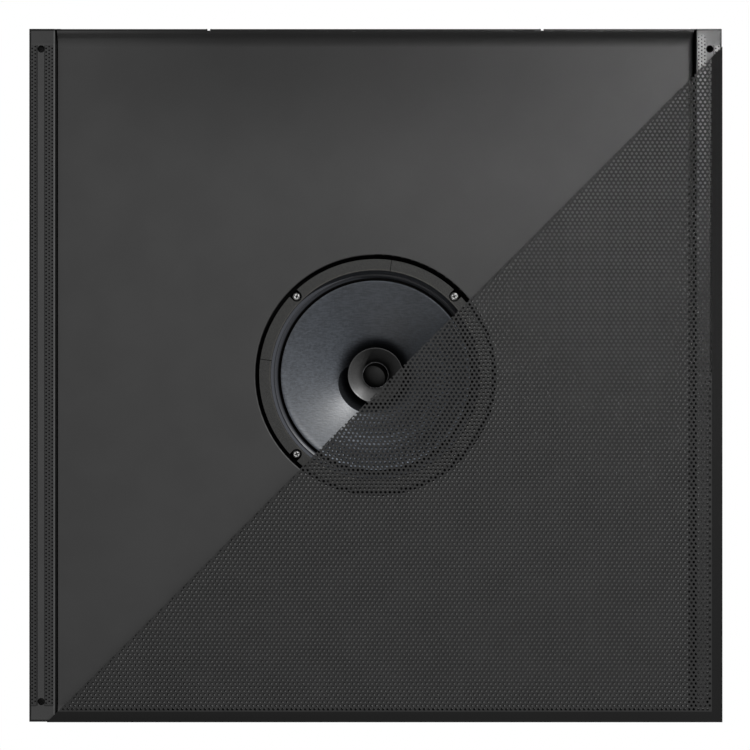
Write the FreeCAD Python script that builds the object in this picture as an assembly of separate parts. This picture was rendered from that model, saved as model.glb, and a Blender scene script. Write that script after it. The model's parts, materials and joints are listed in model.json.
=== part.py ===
"""Lay-in ceiling tile loudspeaker with an 8-inch twin-cone driver, in millimetres.

The tile lies as it does in a ceiling: the origin is the centre of its face, +Z points up into the
ceiling void and the face looks down. +X is to the right and +Y is down when the face is seen from
below. The grille is a cutaway: it is cut along a diagonal, which leaves half of the face open.
"""
import FreeCAD
import Part
import math
import os

from FreeCAD import Vector

# Tile and grille
grille_side = 603.2
grille_sheet = 0.7
grille_lip_gap = 0.2             # from the folded edge to the pan's land
grille_edge_radius = 1.0
grille_border = 9.4
cutaway_offset = 15.8            # X + Y along the cut
hole_diameter = 2.4
hole_row_spacing = 3.2
hole_rows_per_slot = 2           # rows of holes are joined into slots, one for every second row

# Pan
pan_inset = 0.3                  # the pan's edge lies this much inside the grille's
pan_sheet = 0.9
pan_depth = 6.0
pan_bend_radius = 0.4
land_width = 22.7
channel_return = 17.0            # width of the flange that closes the back of a side channel
groove_width = 2.4               # between a side channel and the floor
groove_depth = 4.0
end_land_width = 3.0
end_slope_run = 6.0
end_foot_radius = 13.0
end_crest_radius = 3.0
end_blank_run = 7.0
land_hole_diameter = 6.4
land_hole_inset_x = 10.5
land_hole_inset_y = 17.5
edge_notch_spacing = 290.0
edge_notch_width = 5.0
edge_notch_depth = 1.5

# Pads on the lands
pad_thickness = 1.2
pad_outer_width = 6.4
pad_inner_width = 7.3
pad_length = 574.0
pad_outer_inset = 0.9
pad_inner_inset = 1.5

# Driver seat and flange
flange_diameter = 202.9
seat_gap = 3.3
seat_depth = 5.0
seat_ledge = 9.2
seat_rim = 6.0
screw_edge = 4.1                 # from the flange's edge to a screw's middle
screw_count = 4
screw_first_angle = 45.0
screw_diameter = 4.0
screw_length = 10.0
screw_head_diameter = 6.8
screw_head_height = 2.6
screw_crown_height = 1.1
screw_hole_clearance = 0.25
nut_width = 7.0
nut_height = 3.2

# Driver frame and gasket
basket_sheet = 1.0
throat_clearance = 0.7           # from the surround's roll to the frame's throat
basket_ledge_outer = 116.0
basket_ledge_inner = 100.0
basket_ledge_depth = 38.9        # from the flange to the spider ledge
basket_back_diameter = 92.0
basket_back_depth = 10.0         # from the ledge to the back ring
basket_back_hole = 36.0
window_count = 6
window_angle = 40.0
window_outer = 166.0
window_inner = 124.0
ear_rivet_gap = 7.4              # from the spider ledge to the rivet's head
ear_width = 24.0
ear_angle = 30.0
gasket_thickness = 3.6
gasket_width = 9.8
gasket_notch_width = 9.0
gasket_joint_gap = 0.5
gasket_joint_angle = 8.0

# Diaphragm
surround_thickness = 0.5
surround_rim = 1.5
surround_width = 9.7
surround_roll_depth = 1.7
surround_roll_steps = 8
surround_glue = 1.6
surround_lip_gap = 0.8           # from the cone's edge to the roll
cone_thickness = 0.7
cone_depth = 31.5
collar_length = 3.5
glue_gap = 0.1
whizzer_thickness = 0.5
whizzer_diameter = 48.4
whizzer_depth = 14.0
whizzer_flare = 0.72             # the smaller, the flatter the horn is at its rim
whizzer_steps = 6
whizzer_collar = 3.0
whizzer_to_cone = 2.0
cap_thickness = 0.5
cap_height = 4.5
cap_set_back = 1.0

# Motor
former_diameter = 23.0
former_thickness = 0.3
former_lead = 0.5
coil_length = 10.0
coil_thickness = 0.6
pole_clearance = 0.4
gap_clearance = 0.5
plate_diameter = 80.0
front_plate_thickness = 6.0
magnet_diameter = 90.0
magnet_bore = 45.0
magnet_thickness = 12.0
back_plate_thickness = 5.0
spider_thickness = 0.5
spider_rolls = 3
spider_roll_height = 1.6
spider_rim = 5.0
spider_collar = 3.0

# Driver terminals
board_length = 24.0
board_width = 14.0
board_thickness = 1.6
lug_width = 4.0
lug_thickness = 0.6
lug_length = 16.0
lug_spacing = 14.0

# Line transformer
transformer_x = 165.0
transformer_y = 60.0
core_width = 48.0
core_height = 40.0
core_stack = 18.0
core_leg = 8.0
coil_clearance = 0.3
coil_overhang = 9.0
coil_corner = 4.0
bracket_sheet = 1.2
bracket_width = 16.0
bracket_foot = 14.0
bracket_bend_radius = 0.3
bracket_clearance = 0.1

# Line terminal block
block_x = 165.0
block_y = 150.0
block_length = 62.0
block_width = 20.0
block_base = 9.0
block_ear = 10.0
block_ear_height = 4.0
block_ways = 4
barrier_height = 7.0
barrier_thickness = 1.6
terminal_screw_diameter = 6.0
terminal_screw_height = 2.4
terminal_screw_depth = 5.0

# Rivets
rivet_diameter = 3.8
rivet_hole_clearance = 0.1
rivet_head_diameter = 7.2
rivet_head_height = 1.4

# Hanger tabs
tab_inset = 40.0                 # from the pan's edge to the tab's eye
tab_sheet = 1.5
tab_width = 24.0
tab_foot = 18.0
tab_height = 20.0
tab_eye_diameter = 7.0
tab_bend_radius = 1.5

# Heights along Z, from the face upwards
land_z = grille_sheet + pad_thickness
floor_z = land_z + pan_depth
pan_back_z = floor_z + pan_sheet
seat_z = floor_z + seat_depth
flange_z = seat_z - basket_sheet
ledge_z = flange_z + basket_ledge_depth
basket_back_z = ledge_z + basket_back_depth
front_plate_z = basket_back_z + basket_sheet
magnet_z = front_plate_z + front_plate_thickness
back_plate_z = magnet_z + magnet_thickness
cone_rim_z = flange_z
cone_neck_z = cone_rim_z + cone_depth
whizzer_neck_z = cone_neck_z - whizzer_to_cone
former_front_z = whizzer_neck_z - whizzer_collar - former_lead

# Radii and half widths
pan_half = grille_side / 2 - pan_inset
lip_x = pan_half - land_width
floor_half = lip_x - groove_width
flange_radius = flange_diameter / 2
screw_circle = flange_diameter - 2 * screw_edge
recess_radius = flange_radius + seat_gap
seat_hole_radius = flange_radius - seat_ledge
gasket_inner_radius = flange_radius - gasket_width
surround_outer_radius = gasket_inner_radius - glue_gap
throat_radius = surround_outer_radius - surround_rim + throat_clearance
cone_radius = surround_outer_radius - surround_width
former_radius = former_diameter / 2
former_bore = former_radius - former_thickness
pole_radius = former_bore - pole_clearance
plate_bore = former_radius + coil_thickness + gap_clearance
rivet_hole_radius = rivet_diameter / 2 + rivet_hole_clearance

axis_z = Vector(0, 0, 1)
origin = Vector(0, 0, 0)


def cylinder(radius, low, high, x=0, y=0):
    return Part.makeCylinder(radius, high - low, Vector(x, y, low))


def block(x0, x1, y0, y1, z0, z1):
    return Part.makeBox(x1 - x0, y1 - y0, z1 - z0, Vector(x0, y0, z0))


def ring(outer, inner, low, high):
    return cylinder(outer, low, high).cut(cylinder(inner, low, high))


def around(shape, count, first_angle=0.0):
    """Copies of a shape, evenly turned about Z."""
    copies = []
    for index in range(count):
        copy = shape.copy()
        copy.rotate(origin, axis_z, first_angle + 360.0 / count * index)
        copies.append(copy)
    return copies


def mitred_side(points, offset):
    """The points of an open line, moved sideways by an offset, with sharp corners."""
    normals = []
    for (u0, w0), (u1, w1) in zip(points, points[1:]):
        length = math.hypot(u1 - u0, w1 - w0)
        normals.append(((w0 - w1) / length, (u1 - u0) / length))
    side = []
    for index, (u, w) in enumerate(points):
        before = normals[max(index - 1, 0)]
        after = normals[min(index, len(normals) - 1)]
        nu = before[0] + after[0]
        nw = before[1] + after[1]
        reach = 2 * offset / (nu * nu + nw * nw)
        side.append((u + nu * reach, w + nw * reach))
    return side


def pressed_ring(points, thickness):
    """A pressed round shell: a line of (radius, height) points, given a thickness and turned about Z."""
    outline = mitred_side(points, thickness / 2) + mitred_side(points, -thickness / 2)[::-1]
    corners = [Vector(r, 0, z) for r, z in outline]
    face = Part.Face(Part.makePolygon(corners + corners[:1]))
    return face.revolve(origin, axis_z, 360)


def turned(points):
    """A solid of revolution about Z from a closed outline of (radius, height) points."""
    corners = [Vector(r, 0, z) for r, z in points]
    face = Part.Face(Part.makePolygon(corners + corners[:1]))
    return face.revolve(origin, axis_z, 360)


def folded_side(points, radii, offset):
    """One side of a folded sheet's section, as a list of pieces: two points a line, three an arc."""
    pieces = []
    last = None
    for index, point in enumerate(points):
        here = Vector(*point, 0)
        middle_radius = radii[index]
        if 0 < index < len(points) - 1:
            before = Vector(*points[index - 1], 0)
            after = Vector(*points[index + 1], 0)
            way_in = (here - before).normalize()
            way_out = (after - here).normalize()
            turn = 1 if way_in.cross(way_out).z > 0 else -1
            reach = middle_radius * math.tan(way_in.getAngle(way_out) / 2)
            left_in = Vector(-way_in.y, way_in.x, 0)
            left_out = Vector(-way_out.y, way_out.x, 0)
            centre = here - way_in * reach + left_in * middle_radius * turn
            start = here - way_in * reach + left_in * offset
            end = here + way_out * reach + left_out * offset
            middle = centre + (here - centre).normalize() * (middle_radius - turn * offset)
            pieces.append((last, start))
            pieces.append((start, middle, end))
            last = end
        else:
            neighbour = Vector(*points[1 if index == 0 else index - 1], 0)
            way = (neighbour - here if index == 0 else here - neighbour).normalize()
            end = here + Vector(-way.y, way.x, 0) * offset
            if last is not None:
                pieces.append((last, end))
            last = end
    return pieces


def folded_section(corners, thickness, bend_radius, place):
    """The section of a folded sheet, placed in space by a function.

    Its middle line is a list of corners; a corner's third value is a bend radius of its own.
    """
    points = [corner[:2] for corner in corners]
    radii = [(corner[2] if len(corner) > 2 else bend_radius) + thickness / 2 for corner in corners]
    left = folded_side(points, radii, thickness / 2)
    right = folded_side(points, radii, -thickness / 2)
    back = [tuple(reversed(piece)) for piece in reversed(right)]
    outline = left + [(left[-1][-1], back[0][0])] + back + [(back[-1][-1], left[0][0])]
    edges = []
    for piece in outline:
        spots = [place(spot.x, spot.y) for spot in piece]
        line = Part.LineSegment(*spots) if len(spots) == 2 else Part.Arc(*spots)
        edges.append(line.toShape())
    return Part.Face(Part.Wire(edges))


def folded_sheet(corners, thickness, bend_radius, place, sweep):
    return folded_section(corners, thickness, bend_radius, place).extrude(sweep)


def make_pan():
    half_sheet = pan_sheet / 2
    wall_x = pan_half - half_sheet
    lip_middle = lip_x + half_sheet
    groove_wall = floor_half - half_sheet
    land_middle = land_z + half_sheet
    floor_middle = floor_z + half_sheet
    groove_middle = floor_middle + groove_depth

    # From the closed back of a side channel over its land and through the groove to the floor
    side_section = [
        (pan_half - channel_return, floor_middle), (wall_x, floor_middle), (wall_x, land_middle),
        (lip_middle, land_middle), (lip_middle, groove_middle), (groove_wall, groove_middle),
        (groove_wall, floor_middle),
    ]
    section = [(-u, w) for u, w in side_section] + side_section[::-1]
    pan = folded_sheet(section, pan_sheet, pan_bend_radius,
                       lambda u, w: Vector(u, -pan_half, w), Vector(0, 2 * pan_half, 0))

    # The two ends: the floor sweeps up to a narrow land and returns along the outside
    slope_top = pan_half - end_land_width
    slope_foot = slope_top - end_slope_run
    flat_end = slope_foot - end_blank_run
    end_section = [
        (flat_end, floor_middle), (slope_foot, floor_middle, end_foot_radius),
        (slope_top, land_middle, end_crest_radius), (wall_x, land_middle), (wall_x, pan_back_z),
    ]
    for side in (-1, 1):
        low, high = sorted((side * flat_end, side * (pan_half + pan_sheet)))
        pan = pan.cut(block(-floor_half, floor_half, low, high, floor_z - pan_sheet, pan_back_z))
        end = folded_sheet(end_section, pan_sheet, pan_bend_radius,
                           lambda u, w: Vector(-floor_half, side * u, w), Vector(2 * floor_half, 0, 0))
        pan = pan.fuse(end)
        for place in (-1, 1):
            notch_x = place * edge_notch_spacing / 2
            low, high = sorted((side * (pan_half - edge_notch_depth), side * (pan_half + pan_sheet)))
            pan = pan.cut(block(notch_x - edge_notch_width / 2, notch_x + edge_notch_width / 2,
                                low, high, land_z - pan_sheet, pan_back_z + pan_sheet))

    # The pressed seat for the driver
    rim = recess_radius + seat_rim
    wall = recess_radius + half_sheet
    seat_middle = seat_z + half_sheet
    seat = folded_section([(rim, floor_middle), (wall, floor_middle), (wall, seat_middle),
                           (seat_hole_radius, seat_middle)], pan_sheet, pan_bend_radius,
                          lambda u, w: Vector(u, 0, w)).revolve(origin, axis_z, 360)
    pan = pan.cut(cylinder(rim, floor_z - pan_sheet, pan_back_z + pan_sheet)).fuse(seat)

    screw_hole = cylinder(screw_diameter / 2 + screw_hole_clearance, floor_z, seat_z + 2 * pan_sheet,
                          screw_circle / 2)
    holes = around(screw_hole, screw_count, screw_first_angle)
    for x in (-1, 1):
        for y in (-1, 1):
            holes.append(cylinder(land_hole_diameter / 2, land_z - pan_sheet, land_z + 2 * pan_sheet,
                                  x * (pan_half - land_hole_inset_x), y * (pan_half - land_hole_inset_y)))
    for x, y in bracket_rivet_places() + block_rivet_places():
        holes.append(cylinder(rivet_hole_radius, floor_z - pan_sheet, pan_back_z + pan_sheet, x, y))
    return pan.cut(holes).removeSplitter()


def make_grille():
    half = grille_side / 2
    lip_end = land_z - grille_lip_gap
    skin = block(-half, half, -half, half, 0, lip_end)
    front_edges = [edge for edge in skin.Edges if edge.BoundBox.ZMax < grille_sheet / 2]
    skin = skin.makeFillet(grille_edge_radius, front_edges)
    inner = half - grille_sheet
    grille = skin.cut(block(-inner, inner, -inner, inner, grille_sheet, lip_end))

    # Each slot runs from the cut to the plain border at the right
    field = half - grille_border
    pitch = hole_row_spacing * hole_rows_per_slot
    rows = int(2 * field / pitch)
    slots = []
    for row in range(rows):
        y = -field + (row + 0.5) * 2 * field / rows
        start = max(-field, cutaway_offset + grille_border - (y - hole_diameter / 2))
        if start < field - hole_diameter:
            slots.append(block(start, field, y - hole_diameter / 2, y + hole_diameter / 2, 0, grille_sheet))
    grille = grille.cut(Part.makeCompound(slots))

    # The cutaway keeps the side where X + Y is larger than the offset
    reach = 2 * grille_side
    corners = [
        Vector(cutaway_offset + reach, -reach, -reach),
        Vector(cutaway_offset - reach, reach, -reach),
        Vector(-3 * reach, -reach, -reach),
    ]
    wedge = Part.Face(Part.makePolygon(corners + corners[:1])).extrude(Vector(0, 0, 2 * reach))
    return grille.cut(wedge)


def make_pad(side, low, width):
    x0, x1 = sorted((side * low, side * (low + width)))
    return block(x0, x1, -pad_length / 2, pad_length / 2, grille_sheet, land_z)


def make_driver_basket():
    middle = flange_z + basket_sheet / 2
    ledge_middle = ledge_z + basket_sheet / 2
    back_middle = basket_back_z + basket_sheet / 2
    basket = pressed_ring([
        (flange_radius, middle), (throat_radius, middle),
        (basket_ledge_outer / 2, ledge_middle), (basket_ledge_inner / 2, ledge_middle),
        (basket_back_diameter / 2, back_middle), (basket_back_hole / 2, back_middle),
    ], basket_sheet)

    window = Part.Face(Part.makePolygon([
        Vector(window_inner / 2, 0, flange_z), Vector(window_outer / 2, 0, flange_z),
        Vector(window_outer / 2, 0, ledge_z), Vector(window_inner / 2, 0, ledge_z),
        Vector(window_inner / 2, 0, flange_z),
    ])).revolve(origin, axis_z, window_angle)
    window.rotate(origin, axis_z, -window_angle / 2)
    hole = cylinder(screw_diameter / 2 + screw_hole_clearance, flange_z - basket_sheet,
                    seat_z + basket_sheet, screw_circle / 2)
    basket = basket.cut(around(window, window_count))
    basket = basket.cut(around(hole, screw_count, screw_first_angle))

    # The ear that carries the solder terminals
    ear = block(basket_ledge_inner / 2, board_middle() + board_width / 2, -ear_width / 2, ear_width / 2,
                ledge_z, ledge_z + basket_sheet)
    ear = ear.cut(cylinder(rivet_hole_radius, ledge_z, ledge_z + basket_sheet, board_middle()))
    ear.rotate(origin, axis_z, ear_angle)
    return basket.fuse(ear).removeSplitter()


def make_driver_gasket():
    low = flange_z - gasket_thickness
    gasket = ring(flange_radius, gasket_inner_radius, low, flange_z)
    notch = cylinder(gasket_notch_width / 2, low, flange_z, screw_circle / 2)
    notch = notch.fuse(block(screw_circle / 2, flange_radius + gasket_width, -gasket_notch_width / 2,
                             gasket_notch_width / 2, low, flange_z))
    joint = block(gasket_inner_radius - gasket_width, flange_radius + gasket_width,
                  -gasket_joint_gap / 2, gasket_joint_gap / 2, low, flange_z)
    gasket = gasket.cut(around(notch, screw_count, screw_first_angle))
    return gasket.cut(around(joint, screw_count, gasket_joint_angle))


def make_surround():
    """A flat rim, one roll that hangs back into the frame, and a flat that is glued to the cone."""
    middle = flange_z - surround_thickness / 2
    rim = surround_outer_radius - surround_rim
    fold = cone_radius + surround_glue / 2 + surround_lip_gap
    points = [(surround_outer_radius, middle)]
    for step in range(surround_roll_steps + 1):
        share = step / surround_roll_steps
        points.append((rim + (fold - rim) * share, middle + surround_roll_depth * math.sin(math.pi * share)))
    points.append((cone_radius - surround_glue / 2, middle))
    return pressed_ring(points, surround_thickness)


def make_cone():
    rim_middle = cone_rim_z + cone_thickness / 2
    collar = former_radius + glue_gap + cone_thickness / 2
    return pressed_ring([
        (cone_radius + surround_glue / 2, rim_middle), (cone_radius - surround_glue / 2, rim_middle),
        (collar, cone_neck_z), (collar, cone_neck_z + collar_length),
    ], cone_thickness)


def make_whizzer_cone():
    """A small horn that opens towards the face and flattens at its rim."""
    collar = former_radius + glue_gap + whizzer_thickness / 2
    front = whizzer_neck_z - whizzer_collar
    points = [(collar, whizzer_neck_z)]
    for step in range(whizzer_steps + 1):
        share = step / whizzer_steps
        points.append((collar + (whizzer_diameter / 2 - collar) * share,
                       front - whizzer_depth * share ** whizzer_flare))
    return pressed_ring(points, whizzer_thickness)


def make_dust_cap():
    base = former_front_z + cap_set_back
    radius = former_bore - glue_gap
    sphere_radius = (radius * radius + cap_height * cap_height) / (2 * cap_height)
    centre = Vector(0, 0, base - cap_height + sphere_radius)
    dome = Part.makeSphere(sphere_radius, centre).cut(
        Part.makeSphere(sphere_radius - cap_thickness, centre))
    return dome.common(cylinder(radius, base - cap_height, base))


def make_voice_coil_former():
    return ring(former_radius, former_bore, former_front_z, coil_top())


def coil_top():
    return front_plate_z + (front_plate_thickness + coil_length) / 2


def make_voice_coil():
    return ring(former_radius + coil_thickness, former_radius, coil_top() - coil_length, coil_top())


def make_spider():
    middle = ledge_z - spider_thickness / 2
    inner = former_radius + glue_gap + spider_thickness / 2
    outer = basket_ledge_outer / 2 - spider_rim / 2
    flat = outer - spider_rim
    span = flat - inner - spider_collar
    points = [(outer, middle), (flat, middle)]
    for roll in range(2 * spider_rolls):
        height = spider_roll_height if roll % 2 else -spider_roll_height
        points.append((flat - span * (roll + 0.5) / (2 * spider_rolls), middle + height))
    points += [(inner + spider_collar / 2, middle), (inner, middle)]
    return pressed_ring(points, spider_thickness)


def make_magnet_front_plate():
    return ring(plate_diameter / 2, plate_bore, front_plate_z, magnet_z)


def make_magnet_ring():
    return ring(magnet_diameter / 2, magnet_bore / 2, magnet_z, back_plate_z)


def make_pole_plate():
    top = back_plate_z + back_plate_thickness
    return turned([
        (0, front_plate_z), (pole_radius, front_plate_z), (pole_radius, back_plate_z),
        (plate_diameter / 2, back_plate_z), (plate_diameter / 2, top), (0, top),
    ])


def board_middle():
    return basket_ledge_outer / 2 + ear_rivet_gap + rivet_head_diameter / 2


def make_terminal_board():
    low = ledge_z + basket_sheet
    middle = board_middle()
    board = block(middle - board_width / 2, middle + board_width / 2, -board_length / 2, board_length / 2,
                  low, low + board_thickness)
    board = board.cut(cylinder(rivet_hole_radius, low, low + board_thickness, middle))
    board.rotate(origin, axis_z, ear_angle)
    return board


def make_solder_lugs():
    low = ledge_z + basket_sheet + board_thickness
    start = board_middle() - lug_width
    lugs = []
    for side in (-1, 1):
        y = side * lug_spacing / 2
        lug = block(start, start + lug_length, y - lug_width / 2, y + lug_width / 2,
                    low, low + lug_thickness)
        eye = cylinder(lug_width / 4, low, low + lug_thickness, start + lug_length - lug_width / 2, y)
        lugs.append(lug.cut(eye))
    lugs = Part.makeCompound(lugs)
    lugs.rotate(origin, axis_z, ear_angle)
    return lugs


def flush_rivet(x, y, low, high):
    """A rivet through a stack from low to high, level with the stack at its low end."""
    head_radius = rivet_head_diameter / 2
    head = Part.makeCone(head_radius, rivet_diameter / 2, rivet_head_height, Vector(x, y, high))
    return cylinder(rivet_diameter / 2, low, high, x, y).fuse(head)


def make_terminal_board_rivet():
    tail = Part.makeCone(rivet_diameter / 2, rivet_head_diameter / 2, rivet_head_height,
                         Vector(board_middle(), 0, ledge_z - rivet_head_height))
    pin = flush_rivet(board_middle(), 0, ledge_z, ledge_z + basket_sheet + board_thickness).fuse(tail)
    pin.rotate(origin, axis_z, ear_angle)
    return pin


def make_driver_screws():
    centre = screw_circle / 2
    head_radius = screw_head_diameter / 2
    crown_z = flange_z - screw_head_height + screw_crown_height
    shank = cylinder(screw_diameter / 2, flange_z, flange_z + screw_length, centre)
    head = cylinder(head_radius, crown_z, flange_z, centre)
    crown = Part.makeCone(head_radius - screw_crown_height, head_radius, screw_crown_height,
                          Vector(centre, 0, crown_z - screw_crown_height))
    screw = shank.fuse([head, crown]).removeSplitter()
    return Part.makeCompound(around(screw, screw_count, screw_first_angle))


def make_driver_nuts():
    low = seat_z + pan_sheet
    corner = nut_width / math.sqrt(3)
    corners = [Vector(screw_circle / 2 + corner * math.cos(math.radians(60 * k)),
                      corner * math.sin(math.radians(60 * k)), low) for k in range(7)]
    nut = Part.Face(Part.makePolygon(corners)).extrude(Vector(0, 0, nut_height))
    nut = nut.cut(cylinder(screw_diameter / 2, low, low + nut_height, screw_circle / 2))
    return Part.makeCompound(around(nut, screw_count, screw_first_angle))


def at_transformer(shape):
    shape.translate(Vector(transformer_x, transformer_y, pan_back_z))
    return shape


def make_transformer_core():
    half = core_width / 2
    stack = core_stack / 2
    core = block(-half, half, -stack, stack, 0, core_height)
    inner = core_leg
    outer = half - core_leg
    for side in (-1, 1):
        low, high = sorted((side * inner, side * outer))
        core = core.cut(block(low, high, -stack, stack, core_leg, core_height - core_leg))
    return at_transformer(core)


def make_transformer_coil():
    half_x = core_width / 2 - core_leg - coil_clearance
    half_y = core_stack / 2 + coil_overhang
    low = core_leg + coil_clearance
    coil = block(-half_x, half_x, -half_y, half_y, low, core_height - low)
    upright = [edge for edge in coil.Edges if edge.BoundBox.ZLength > core_leg]
    coil = coil.makeFillet(coil_corner, upright)
    leg_x = core_leg + coil_clearance
    leg_y = core_stack / 2 + coil_clearance
    return at_transformer(coil.cut(block(-leg_x, leg_x, -leg_y, leg_y, 0, core_height)))


def bracket_leg_x():
    """The outer face of the bracket's legs, which stand beside the core."""
    return core_width / 2 + bracket_clearance + bracket_sheet


def bracket_foot_x():
    return bracket_leg_x() + bracket_foot / 2


def bracket_rivet_places():
    return [(transformer_x + side * bracket_foot_x(), transformer_y) for side in (-1, 1)]


def block_rivet_places():
    reach = (block_length - block_ear) / 2
    return [(block_x + side * reach, block_y) for side in (-1, 1)]


def make_transformer_bracket():
    leg = bracket_leg_x() - bracket_sheet / 2
    foot = bracket_leg_x() + bracket_foot
    low = bracket_sheet / 2
    top = core_height + bracket_clearance + bracket_sheet / 2
    section = [(-foot, low), (-leg, low), (-leg, top), (leg, top), (leg, low), (foot, low)]
    bracket = folded_sheet(section, bracket_sheet, bracket_bend_radius,
                           lambda u, w: Vector(u, -bracket_width / 2, w), Vector(0, bracket_width, 0))
    holes = [cylinder(rivet_hole_radius, 0, bracket_sheet, side * bracket_foot_x()) for side in (-1, 1)]
    return at_transformer(bracket.cut(holes))


def make_transformer_rivets():
    return Part.makeCompound([flush_rivet(x, y, floor_z, pan_back_z + bracket_sheet)
                              for x, y in bracket_rivet_places()])


def terminal_places():
    """The middle of each way of the terminal block, along X."""
    bay = block_length - 2 * block_ear
    return [block_x - bay / 2 + bay * (way + 0.5) / block_ways for way in range(block_ways)]


def make_line_terminal_block():
    half = block_length / 2
    bay = half - block_ear
    wide = block_width / 2
    body = block(-half, half, -wide, wide, 0, block_ear_height)
    body = body.fuse(block(-bay, bay, -wide, wide, 0, block_base))
    for wall in range(block_ways + 1):
        x = -bay + (2 * bay - barrier_thickness) * wall / block_ways
        body = body.fuse(block(x, x + barrier_thickness, -wide, wide, 0, block_base + barrier_height))
    body.translate(Vector(block_x, block_y, pan_back_z))
    holes = [cylinder(rivet_hole_radius, pan_back_z, pan_back_z + block_ear_height, x, y)
             for x, y in block_rivet_places()]
    top = pan_back_z + block_base
    holes += [cylinder(terminal_screw_diameter / 4, top - terminal_screw_depth, top, x, block_y)
              for x in terminal_places()]
    return body.removeSplitter().cut(holes)


def make_terminal_screws():
    top = pan_back_z + block_base
    screws = []
    for x in terminal_places():
        shank = cylinder(terminal_screw_diameter / 4, top - terminal_screw_depth, top, x, block_y)
        head = cylinder(terminal_screw_diameter / 2, top, top + terminal_screw_height, x, block_y)
        screws.append(shank.fuse(head))
    return Part.makeCompound(screws)


def make_terminal_block_rivets():
    return Part.makeCompound([flush_rivet(x, y, floor_z, pan_back_z + block_ear_height)
                              for x, y in block_rivet_places()])


def make_hanger_tab(side_x, side_y):
    """An upright eye on the back of the floor, welded on by its foot, which points to the middle."""
    eye_place = pan_half - tab_inset
    low = tab_sheet / 2
    section = [(-tab_foot, low), (0, low), (0, tab_height)]
    tab = folded_sheet(section, tab_sheet, tab_bend_radius,
                       lambda u, w: Vector(u, -tab_width / 2, w), Vector(0, tab_width, 0))
    tab = tab.cut(Part.makeCylinder(tab_eye_diameter / 2, 2 * tab_sheet,
                                    Vector(-tab_sheet, 0, tab_height - tab_eye_diameter),
                                    Vector(1, 0, 0)))
    if side_x < 0:
        tab.rotate(origin, axis_z, 180)
    tab.translate(Vector(side_x * eye_place, side_y * eye_place, pan_back_z))
    return tab


def make_nodes():
    inner_low = lip_x + pad_inner_inset
    outer_low = pan_half - pad_outer_inset - pad_outer_width
    nodes = {
        "pan": make_pan(),
        "grille": make_grille(),
        "driver_basket": make_driver_basket(),
        "driver_gasket": make_driver_gasket(),
        "surround": make_surround(),
        "cone": make_cone(),
        "whizzer_cone": make_whizzer_cone(),
        "dust_cap": make_dust_cap(),
        "voice_coil_former": make_voice_coil_former(),
        "voice_coil": make_voice_coil(),
        "spider": make_spider(),
        "magnet_front_plate": make_magnet_front_plate(),
        "magnet_ring": make_magnet_ring(),
        "pole_plate": make_pole_plate(),
        "terminal_board": make_terminal_board(),
        "solder_lugs": make_solder_lugs(),
        "terminal_board_rivet": make_terminal_board_rivet(),
        "driver_screws": make_driver_screws(),
        "driver_nuts": make_driver_nuts(),
        "transformer_core": make_transformer_core(),
        "transformer_coil": make_transformer_coil(),
        "transformer_bracket": make_transformer_bracket(),
        "transformer_rivets": make_transformer_rivets(),
        "line_terminal_block": make_line_terminal_block(),
        "terminal_screws": make_terminal_screws(),
        "terminal_block_rivets": make_terminal_block_rivets(),
    }
    for name, side in (("left", -1), ("right", 1)):
        nodes["grille_pad_" + name + "_inner"] = make_pad(side, inner_low, pad_inner_width)
        nodes["grille_pad_" + name + "_outer"] = make_pad(side, outer_low, pad_outer_width)
    for number, (side_x, side_y) in enumerate(((-1, -1), (1, -1), (1, 1), (-1, 1)), start=1):
        nodes["hanger_tab_" + str(number)] = make_hanger_tab(side_x, side_y)
    return nodes


os.makedirs("parts", exist_ok=True)
for node_name, node_shape in make_nodes().items():
    node_shape.exportStep("parts/" + node_name + ".step")
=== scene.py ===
"""Lay-in ceiling tile loudspeaker: the finish of each piece, the studio around it and the camera."""
import json
import math

import bmesh
import bpy
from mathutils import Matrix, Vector
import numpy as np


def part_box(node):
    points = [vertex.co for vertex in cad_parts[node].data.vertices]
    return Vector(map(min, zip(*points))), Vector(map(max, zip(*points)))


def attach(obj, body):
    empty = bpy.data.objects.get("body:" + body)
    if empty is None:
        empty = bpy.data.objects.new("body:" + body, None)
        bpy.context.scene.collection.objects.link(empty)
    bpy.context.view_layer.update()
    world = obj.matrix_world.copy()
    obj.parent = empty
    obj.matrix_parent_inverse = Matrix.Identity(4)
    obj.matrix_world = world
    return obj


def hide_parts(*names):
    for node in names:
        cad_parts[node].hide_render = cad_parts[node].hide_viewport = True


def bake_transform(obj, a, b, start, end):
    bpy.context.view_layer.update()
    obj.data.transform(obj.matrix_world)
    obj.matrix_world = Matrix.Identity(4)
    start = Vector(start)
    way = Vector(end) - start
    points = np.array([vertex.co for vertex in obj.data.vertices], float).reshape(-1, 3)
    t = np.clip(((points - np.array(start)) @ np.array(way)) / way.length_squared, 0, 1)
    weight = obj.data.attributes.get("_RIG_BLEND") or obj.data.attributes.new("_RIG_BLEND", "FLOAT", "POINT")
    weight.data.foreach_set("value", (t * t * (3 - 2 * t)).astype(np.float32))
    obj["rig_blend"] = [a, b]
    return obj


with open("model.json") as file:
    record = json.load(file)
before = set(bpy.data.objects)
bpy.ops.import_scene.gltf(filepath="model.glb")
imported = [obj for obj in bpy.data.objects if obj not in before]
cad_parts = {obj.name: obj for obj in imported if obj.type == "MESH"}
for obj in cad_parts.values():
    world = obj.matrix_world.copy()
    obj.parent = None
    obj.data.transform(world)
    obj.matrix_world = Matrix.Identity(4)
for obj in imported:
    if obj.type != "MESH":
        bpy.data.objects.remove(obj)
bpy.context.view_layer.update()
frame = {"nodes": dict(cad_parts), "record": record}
cad_nodes = frame["nodes"]
scene = bpy.context.scene
mm = 0.001


def low_end(node):
    """How far from the face a node starts, in millimetres."""
    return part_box(node)[0].z / mm


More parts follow.
